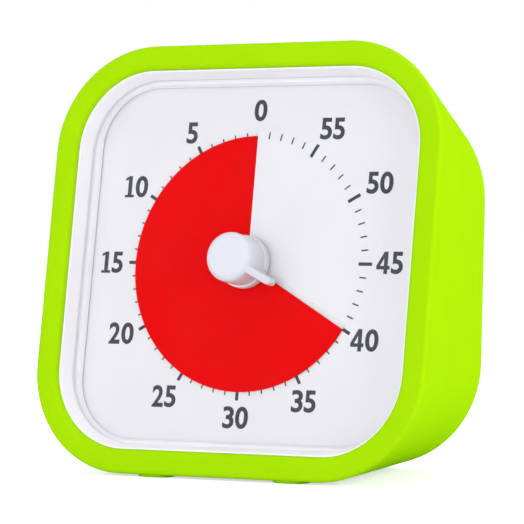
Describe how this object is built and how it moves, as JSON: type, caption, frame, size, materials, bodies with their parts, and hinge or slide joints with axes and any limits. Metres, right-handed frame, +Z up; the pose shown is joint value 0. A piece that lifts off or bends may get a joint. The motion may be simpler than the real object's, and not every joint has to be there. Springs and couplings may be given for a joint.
{
  "type": "countdown timer",
  "caption": "Square tilted desk timer: a knob turns a slit disc through the dial to show the minutes left, in a soft sleeve with moulded feet.",
  "frame": {"origin": "middle of the overall box in X and Y, on the surface that the four feet stand on", "axes": "+Z up, the dial looks along -Y and leans back about 10 degrees, +X is to the right as the dial is read"},
  "size_m": [0.089, 0.0507, 0.0882],
  "materials": {
    "silicone_lime": "soft matte moulded silicone",
    "abs_white": "fine satin moulded plastic",
    "abs_white_gloss": "polished moulded plastic",
    "clear_lens": "clear moulded sheet",
    "dial_white": "smooth printed sheet",
    "disc_red": "smooth dyed sheet",
    "film_clear": "translucent white film",
    "steel": "bright drawn steel",
    "spring_steel": "rolled spring steel",
    "brass": "turned brass",
    "nylon_natural": "natural moulded nylon",
    "housing_grey": "moulded housing",
    "magnet_dark": "sintered magnet",
    "stator_steel": "annealed sheet steel",
    "copper_winding": "enamelled copper wire",
    "board_green": "solder mask",
    "chip_black": "potting resin",
    "battery_can": "printed wrap",
    "plated_contact": "nickel plate",
    "wire_red": "soft insulation",
    "wire_black": "soft insulation",
    "buzzer_black": "moulded housing",
    "lever_black": "fine textured plastic"
  },
  "bodies": {
    "case": {"silicone_sleeve": "silicone_lime", "bezel_ring": "abs_white_gloss", "lens": "clear_lens", "spacer_ring": "abs_white", "dial_plate": "dial_white", "stator": "stator_steel", "coil_core": "stator_steel", "coil_bobbin": "nylon_natural", "coil_winding": "copper_winding", "movement_front": "housing_grey", "movement_rear": "housing_grey", "circuit_board": "board_green", "quartz_crystal": "steel", "control_chip": "chip_black", "movement_screws": "steel", "front_case": "abs_white", "rear_case": "abs_white", "case_screws": "steel", "battery": "battery_can", "positive_contact": "plated_contact", "negative_contact": "plated_contact", "buzzer": "buzzer_black", "switch_body": "buzzer_black", "battery_wire_red": "wire_red", "battery_wire_black": "wire_black", "buzzer_wires": "wire_black"},
    "turning": {"knob": "abs_white_gloss", "disc_hub": "abs_white", "spindle": "brass", "spindle_clip": "spring_steel", "clutch_washer": "spring_steel", "clutch_collar": "brass"},
    "disc": {"time_disc": "disc_red", "edge_strip": "film_clear"},
    "centre_gear": {"centre_wheel": "nylon_natural"},
    "third_gear": {"third_wheel": "nylon_natural"},
    "second_gear": {"second_wheel": "nylon_natural"},
    "rotor_body": {"rotor": "nylon_natural", "rotor_magnet": "magnet_dark"},
    "door": {"battery_door": "abs_white"},
    "lever": {"switch_lever": "lever_black"}
  },
  "joints": [
    {"name": "knob_turn", "type": "hinge", "parent": "case", "child": "turning", "pos_m": [0, -0.01108, 0.04334], "axis": [0, -0.9846, 0.1749], "range_deg": [-240, 120]},
    {"name": "disc_travel", "type": "slide", "parent": "turning", "child": "disc", "axis": [0, -0.9846, 0.1749], "range_m": [-0.000533, 0.000266]},
    {"name": "rotor_turn", "type": "hinge", "parent": "case", "child": "rotor_body", "pos_m": [-0.01172, -0.0109, 0.04438], "axis": [0, -0.9846, 0.1749], "continuous": true},
    {"name": "second_gear_turn", "type": "hinge", "parent": "case", "child": "second_gear", "pos_m": [-0.01172, -0.01226, 0.0367], "axis": [0, -0.9846, 0.1749], "continuous": true},
    {"name": "third_gear_turn", "type": "hinge", "parent": "case", "child": "third_gear", "pos_m": [-0.00406, -0.01303, 0.03235], "axis": [0, -0.9846, 0.1749], "continuous": true},
    {"name": "centre_gear_turn", "type": "hinge", "parent": "case", "child": "centre_gear", "pos_m": [0, -0.01108, 0.04334], "axis": [0, -0.9846, 0.1749], "continuous": true},
    {"name": "battery_door_tilt", "type": "hinge", "parent": "case", "child": "door", "pos_m": [0, 0.0212, 0.01365], "axis": [-1, 0, 0], "range_deg": [0, 90]},
    {"name": "sound_switch_slide", "type": "slide", "parent": "case", "child": "lever", "axis": [-1, 0, 0], "range_m": [0, 0.0025]}
  ],
  "couplings": [
    {"joint": "knob_turn", "follows": "disc_travel", "rad_per_m": 7854},
    {"joint": "second_gear_turn", "follows": "rotor_turn", "ratio": -0.083333},
    {"joint": "third_gear_turn", "follows": "rotor_turn", "ratio": 0.0069444},
    {"joint": "centre_gear_turn", "follows": "rotor_turn", "ratio": -0.00055556}
  ]
}
